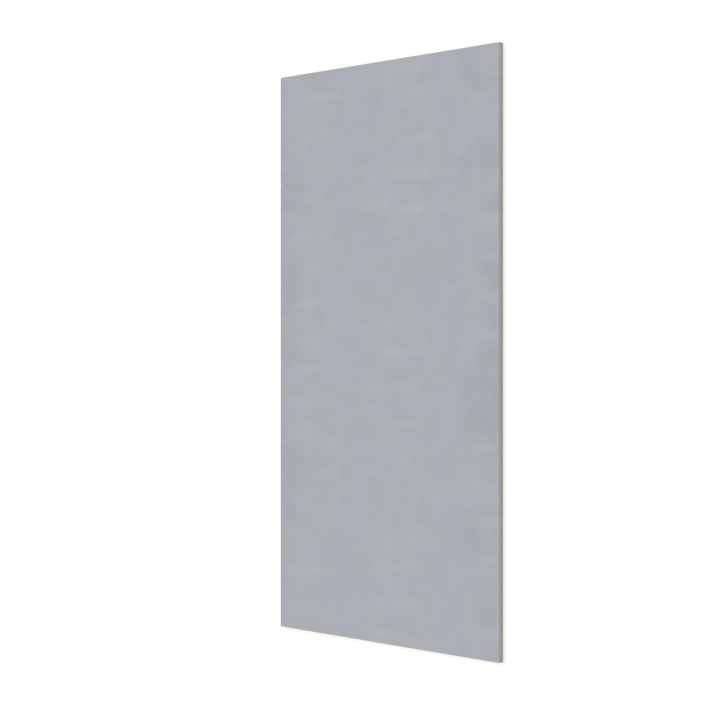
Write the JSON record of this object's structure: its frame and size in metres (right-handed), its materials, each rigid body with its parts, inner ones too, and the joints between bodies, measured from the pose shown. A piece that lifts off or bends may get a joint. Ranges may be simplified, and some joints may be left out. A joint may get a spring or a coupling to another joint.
{
  "type": "cement-bonded particle board",
  "caption": "Flat rectangular sheet of pressed wood particles in cement, with smooth grey faces and square sawn edges.",
  "frame": {"origin": "centre of the back face, which lies on the floor", "axes": "+X across the width, +Y along the length, +Z out of the front face through the thickness"},
  "size_m": [1.2, 2.4, 0.022],
  "materials": {
    "cement_particle_board": "matte"
  },
  "bodies": {
    "root": {"particle_board": "cement_particle_board"}
  },
  "joints": []
}
